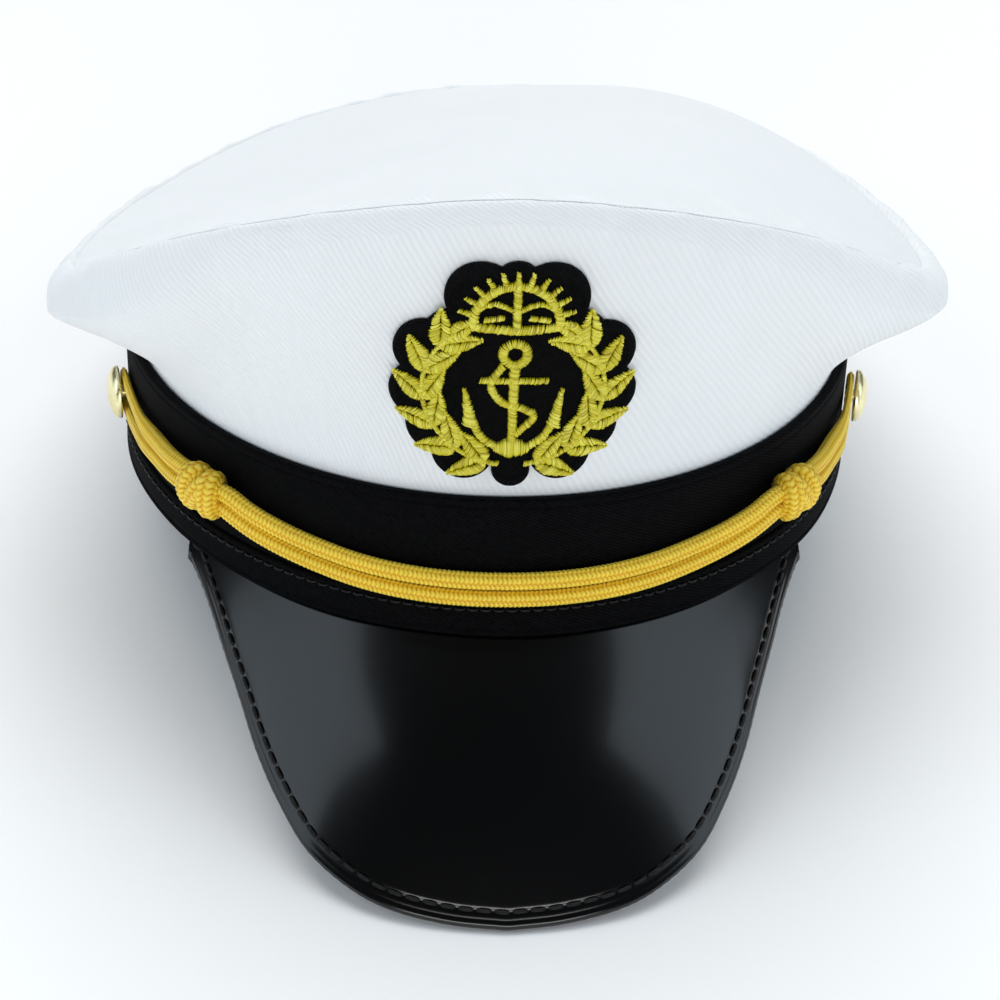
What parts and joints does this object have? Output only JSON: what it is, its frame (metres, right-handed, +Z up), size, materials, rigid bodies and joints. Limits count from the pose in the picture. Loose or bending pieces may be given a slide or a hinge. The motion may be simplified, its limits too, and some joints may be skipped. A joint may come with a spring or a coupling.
{
  "type": "captain cap",
  "caption": "Peaked captain's cap with a domed white cloth crown, black band, glossy peak, gold cord on side buttons and an embroidered anchor badge.",
  "frame": {"origin": "centre of the cap's box in plan, on the surface that it stands on", "axes": "-Y the way the wearer faces, towards the peak; +Z up; +X towards the wearer's left. The cap stands on its peak edge and on the back of its rim, so the rim's plane rises towards the front"},
  "size_m": [0.2072, 0.273, 0.1347],
  "materials": {
    "white_twill": "fine diagonal twill, matte",
    "black_band": "matte black cloth",
    "patent_peak": "high-gloss patent",
    "gold_cord": "braided cord with a soft sheen",
    "button_metal": "polished pale gold",
    "badge_felt": "matte black felt",
    "badge_thread": "satin-stitched gold thread"
  },
  "bodies": {
    "root": {"crown_top": "white_twill", "crown_side": "white_twill", "band": "black_band", "band_hem": "black_band", "peak": "patent_peak", "badge_patch": "badge_felt", "badge_anchor": "badge_thread", "badge_wreath_left": "badge_thread", "badge_wreath_right": "badge_thread", "badge_coronet": "badge_thread", "cord_front_upper": "gold_cord", "cord_front_lower": "gold_cord", "cord_loop_left": "gold_cord", "cord_loop_right": "gold_cord", "knot_left": "gold_cord", "knot_right": "gold_cord", "button_left": "button_metal", "button_right": "button_metal"}
  },
  "joints": []
}
